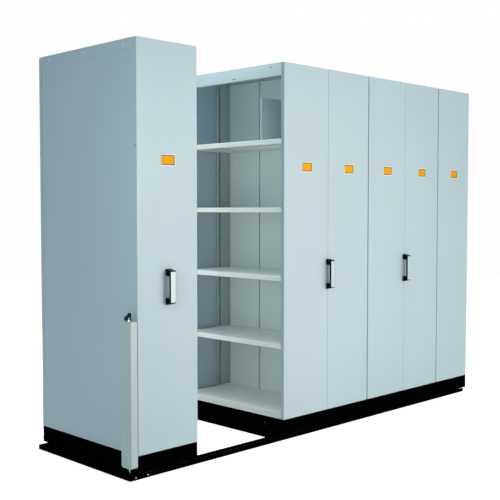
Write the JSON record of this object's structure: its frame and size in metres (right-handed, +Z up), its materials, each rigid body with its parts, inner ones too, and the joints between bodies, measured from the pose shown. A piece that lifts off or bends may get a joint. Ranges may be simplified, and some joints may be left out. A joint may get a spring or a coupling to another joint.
{
  "type": "mobile compactor shelving",
  "caption": "Rolling shelf units with bow grips, label holders and a key lock, which run on floor tracks towards a fixed unit, with one aisle open",
  "frame": {"origin": "under the middle of the whole row's bounding box, on the floor", "axes": "+X along the row towards the fixed unit, -Y towards the handle end, +Z up"},
  "size_m": [3.153, 0.943, 2.23],
  "materials": {
    "track_paint": "satin black",
    "rail_steel": "worn bare steel",
    "screw_steel": "zinc plated",
    "plinth_paint": "semi-gloss black",
    "panel_paint": "pale blue-grey powder coat",
    "shelf_paint": "pale grey powder coat",
    "wheel_iron": "machined",
    "axle_steel": "ground",
    "bearing_iron": "painted",
    "grip_aluminium": "satin anodised",
    "grip_plastic": "black",
    "label_frame": "pale",
    "label_card": "orange card",
    "buffer_rubber": "black",
    "lock_steel": "polished",
    "key_plastic": "black head on a steel shank"
  },
  "bodies": {
    "fixed_unit_and_tracks": {"tracks": "track_paint", "track_rails": "rail_steel", "cross_ties": "track_paint", "track_screws": "screw_steel", "static_plinth": "plinth_paint", "static_posts": "shelf_paint", "static_end_panels": "panel_paint", "static_back_panel": "panel_paint", "static_top": "panel_paint", "static_shelves": "shelf_paint", "static_label": "label_frame", "static_card": "label_card", "static_buffers": "buffer_rubber"},
    "carriage_1": {"carriage_1_chassis": "plinth_paint", "carriage_1_bearings": "bearing_iron", "carriage_1_posts": "shelf_paint", "carriage_1_end_panels": "panel_paint", "carriage_1_back_panel": "panel_paint", "carriage_1_top": "panel_paint", "carriage_1_shelves": "shelf_paint", "carriage_1_grip": "grip_aluminium", "carriage_1_grip_bow": "grip_plastic", "carriage_1_label": "label_frame", "carriage_1_card": "label_card", "lock_housing": "panel_paint", "lock_cylinder": "lock_steel"},
    "carriage_1_left_wheels": {"carriage_1_wheelset_left": "wheel_iron"},
    "carriage_1_right_wheels": {"carriage_1_wheelset_right": "wheel_iron"},
    "lock_key": {"lock_key": "key_plastic"},
    "lock_bolt": {"lock_bolt": "lock_steel"},
    "carriage_2": {"carriage_2_chassis": "plinth_paint", "carriage_2_bearings": "bearing_iron", "carriage_2_posts": "shelf_paint", "carriage_2_end_panels": "panel_paint", "carriage_2_back_panels": "panel_paint", "carriage_2_top": "panel_paint", "carriage_2_shelves": "shelf_paint", "carriage_2_grip": "grip_aluminium", "carriage_2_grip_bow": "grip_plastic", "carriage_2_labels": "label_frame", "carriage_2_cards": "label_card", "carriage_2_buffers": "buffer_rubber"},
    "carriage_2_left_axle": {"carriage_2_axle_left": "axle_steel"},
    "carriage_2_left_wheels": {"carriage_2_wheels_left": "wheel_iron"},
    "carriage_2_right_axle": {"carriage_2_axle_right": "axle_steel"},
    "carriage_2_right_wheels": {"carriage_2_wheels_right": "wheel_iron"},
    "divider": {"divider_plate": "shelf_paint"},
    "carriage_3": {"carriage_3_chassis": "plinth_paint", "carriage_3_bearings": "bearing_iron", "carriage_3_posts": "shelf_paint", "carriage_3_end_panels": "panel_paint", "carriage_3_back_panels": "panel_paint", "carriage_3_top": "panel_paint", "carriage_3_shelves": "shelf_paint", "carriage_3_grip": "grip_aluminium", "carriage_3_grip_bow": "grip_plastic", "carriage_3_labels": "label_frame", "carriage_3_cards": "label_card"},
    "carriage_3_left_wheels": {"carriage_3_wheelset_left": "wheel_iron"},
    "carriage_3_right_wheels": {"carriage_3_wheelset_right": "wheel_iron"}
  },
  "joints": [
    {"name": "carriage_1_slide", "type": "slide", "parent": "fixed_unit_and_tracks", "child": "carriage_1", "axis": [1, 0, 0], "range_m": [0, 0.67]},
    {"name": "carriage_3_slide", "type": "slide", "parent": "fixed_unit_and_tracks", "child": "carriage_3", "axis": [1, 0, 0], "range_m": [-0.335, 0]},
    {"name": "carriage_2_slide", "type": "slide", "parent": "carriage_3", "child": "carriage_2", "axis": [1, 0, 0], "range_m": [-0.335, 0]},
    {"name": "carriage_1_left_roll", "type": "hinge", "parent": "carriage_1", "child": "carriage_1_left_wheels", "pos_m": [-1.4335, 0.0215, 0.063], "axis": [0, 1, 0], "continuous": true},
    {"name": "carriage_1_right_roll", "type": "hinge", "parent": "carriage_1", "child": "carriage_1_right_wheels", "pos_m": [-1.2135, 0.0215, 0.063], "axis": [0, 1, 0], "continuous": true},
    {"name": "carriage_2_left_axle_turn", "type": "hinge", "parent": "carriage_2", "child": "carriage_2_left_axle", "pos_m": [-0.3035, 0.0215, 0.063], "axis": [0, 1, 0], "continuous": true},
    {"name": "carriage_2_left_roll", "type": "hinge", "parent": "carriage_2_left_axle", "child": "carriage_2_left_wheels", "pos_m": [-0.3035, 0.0215, 0.063], "axis": [0, 1, 0], "continuous": true},
    {"name": "carriage_2_right_axle_turn", "type": "hinge", "parent": "carriage_2", "child": "carriage_2_right_axle", "pos_m": [0.2165, 0.0215, 0.063], "axis": [0, 1, 0], "continuous": true},
    {"name": "carriage_2_right_roll", "type": "hinge", "parent": "carriage_2_right_axle", "child": "carriage_2_right_wheels", "pos_m": [0.2165, 0.0215, 0.063], "axis": [0, 1, 0], "continuous": true},
    {"name": "carriage_3_left_roll", "type": "hinge", "parent": "carriage_3", "child": "carriage_3_left_wheels", "pos_m": [0.5065, 0.0215, 0.063], "axis": [0, 1, 0], "continuous": true},
    {"name": "carriage_3_right_roll", "type": "hinge", "parent": "carriage_3", "child": "carriage_3_right_wheels", "pos_m": [1.0265, 0.0215, 0.063], "axis": [0, 1, 0], "continuous": true},
    {"name": "lock_bolt_slide", "type": "slide", "parent": "carriage_1", "child": "lock_bolt", "axis": [0, 0, -1], "range_m": [0, 0.02]},
    {"name": "lock_key_turn", "type": "hinge", "parent": "carriage_1", "child": "lock_key", "pos_m": [-1.5455, -0.386, 0.8], "axis": [0, 0, 1], "range_deg": [0, 90]},
    {"name": "divider_slide", "type": "slide", "parent": "carriage_2", "child": "divider", "axis": [0, 1, 0], "range_m": [-0.17, 0.6]}
  ],
  "couplings": [
    {"joint": "carriage_1_left_roll", "follows": "carriage_1_slide", "rad_per_m": 22.222},
    {"joint": "carriage_1_right_roll", "follows": "carriage_1_slide", "rad_per_m": 22.222},
    {"joint": "carriage_2_left_axle_turn", "follows": "carriage_2_slide", "rad_per_m": 22.222},
    {"joint": "carriage_2_right_axle_turn", "follows": "carriage_2_slide", "rad_per_m": 22.222},
    {"joint": "carriage_2_left_roll", "follows": "carriage_3_slide", "rad_per_m": 22.222},
    {"joint": "carriage_2_right_roll", "follows": "carriage_3_slide", "rad_per_m": 22.222},
    {"joint": "carriage_3_left_roll", "follows": "carriage_3_slide", "rad_per_m": 22.222},
    {"joint": "carriage_3_right_roll", "follows": "carriage_3_slide", "rad_per_m": 22.222},
    {"joint": "lock_key_turn", "follows": "lock_bolt_slide", "rad_per_m": 78.54}
  ]
}
